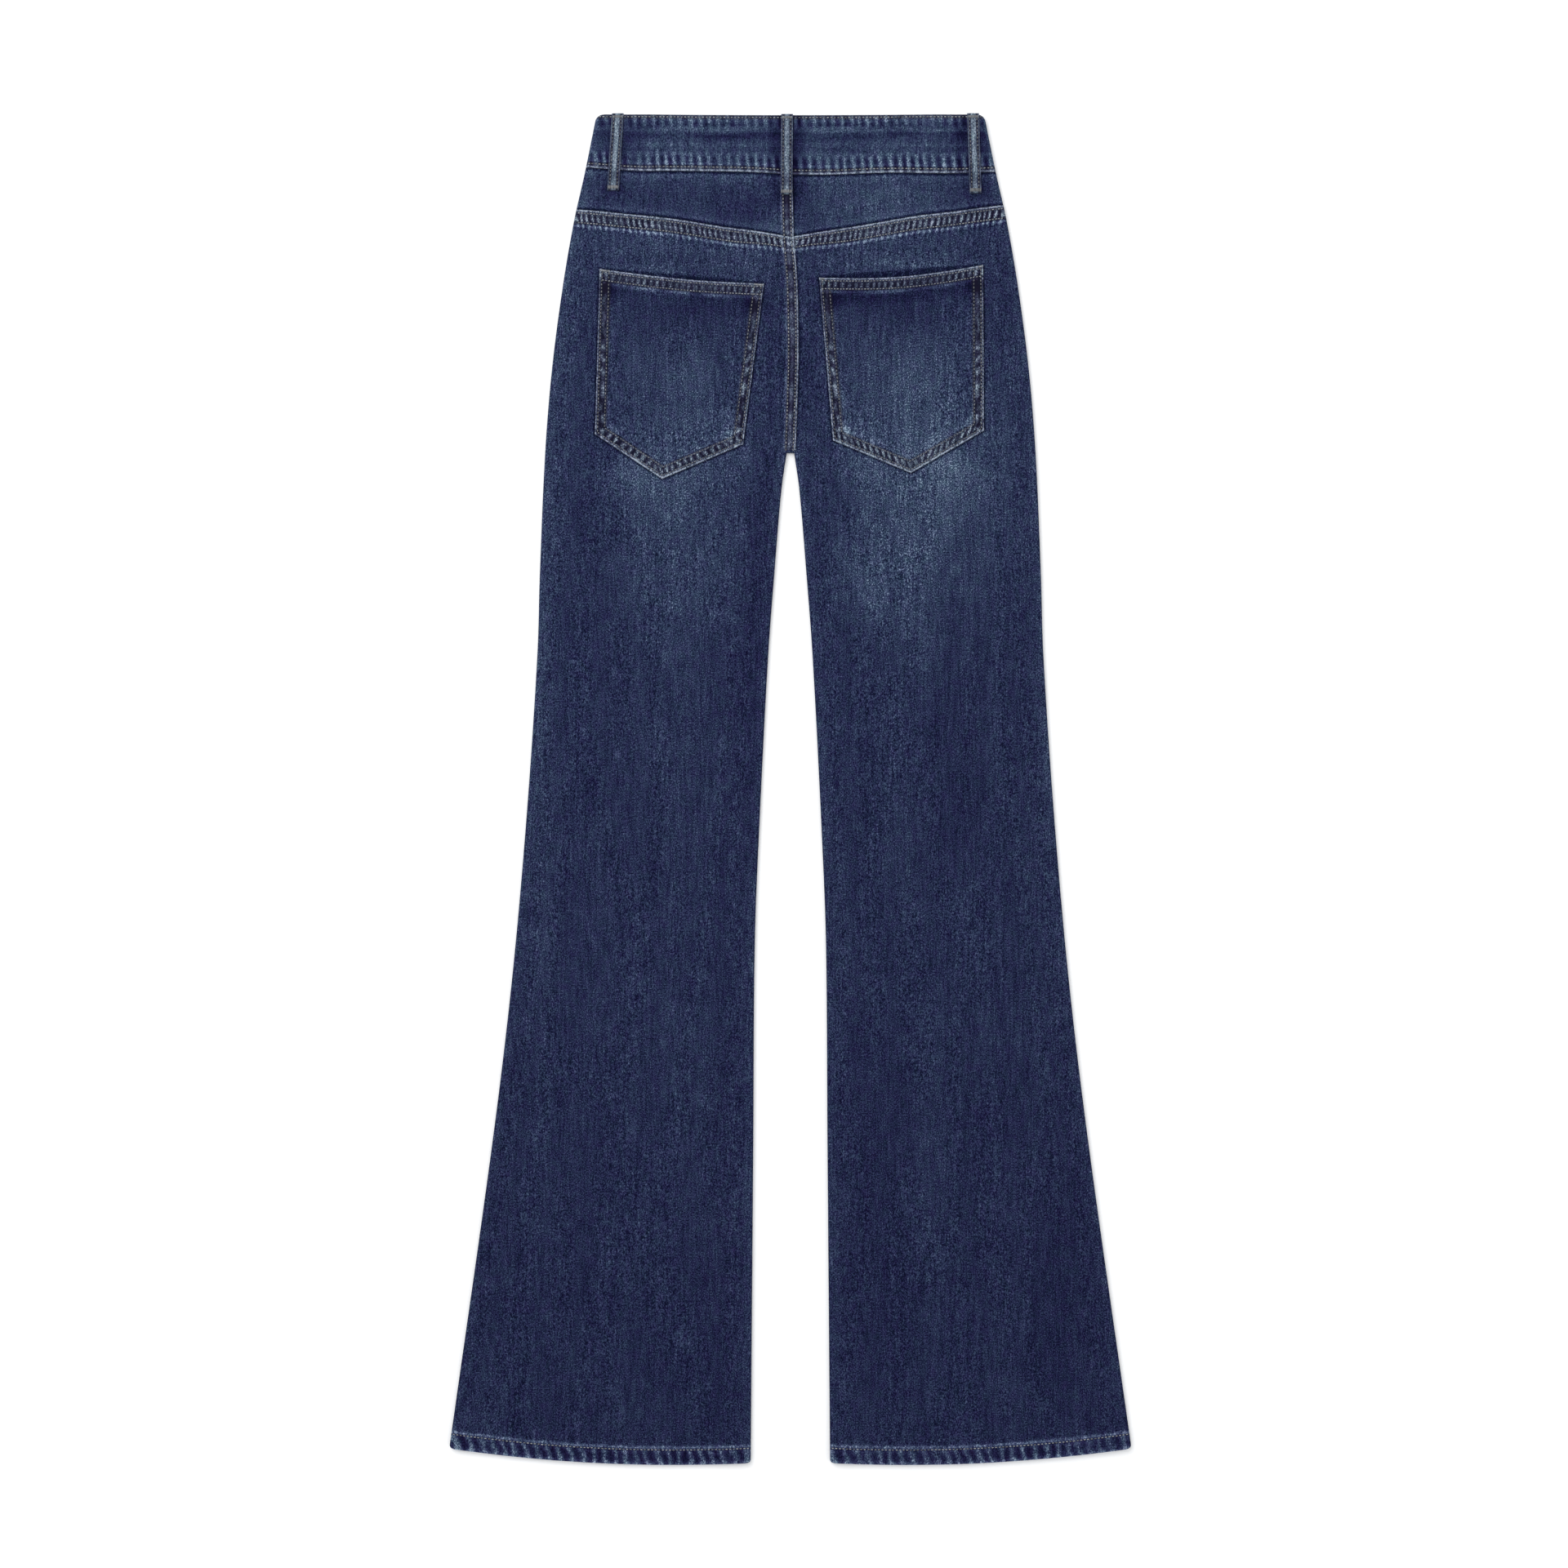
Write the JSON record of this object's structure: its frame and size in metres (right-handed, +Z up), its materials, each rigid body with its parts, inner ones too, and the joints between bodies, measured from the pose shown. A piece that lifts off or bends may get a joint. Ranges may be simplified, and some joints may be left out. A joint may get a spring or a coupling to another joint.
{
  "type": "wide leg jeans",
  "caption": "Wide leg denim jeans with waistband, belt loops, back yoke and patch pockets, laid flat face down with the back showing.",
  "frame": {"origin": "middle of the garment's footprint, on the surface that it lies on", "axes": "+X across the garment, towards the wearer's right leg; +Y along it, from the hems to the waist; +Z up from the surface, out of the back of the garment"},
  "size_m": [0.5678, 1.126, 0.012],
  "materials": {
    "denim": "matte twill, mid dark indigo, lightly faded",
    "button_metal": "antiqued, satin"
  },
  "bodies": {
    "root": {"back_leg_left": "denim", "back_leg_right": "denim", "front_leg_left": "denim", "front_leg_right": "denim", "yoke_left": "denim", "yoke_right": "denim", "waistband": "denim", "pocket_left": "denim", "pocket_right": "denim", "loop_back_left": "denim", "loop_back_centre": "denim", "loop_back_right": "denim", "loop_front_left": "denim", "loop_front_right": "denim", "waist_button": "button_metal"}
  },
  "joints": []
}
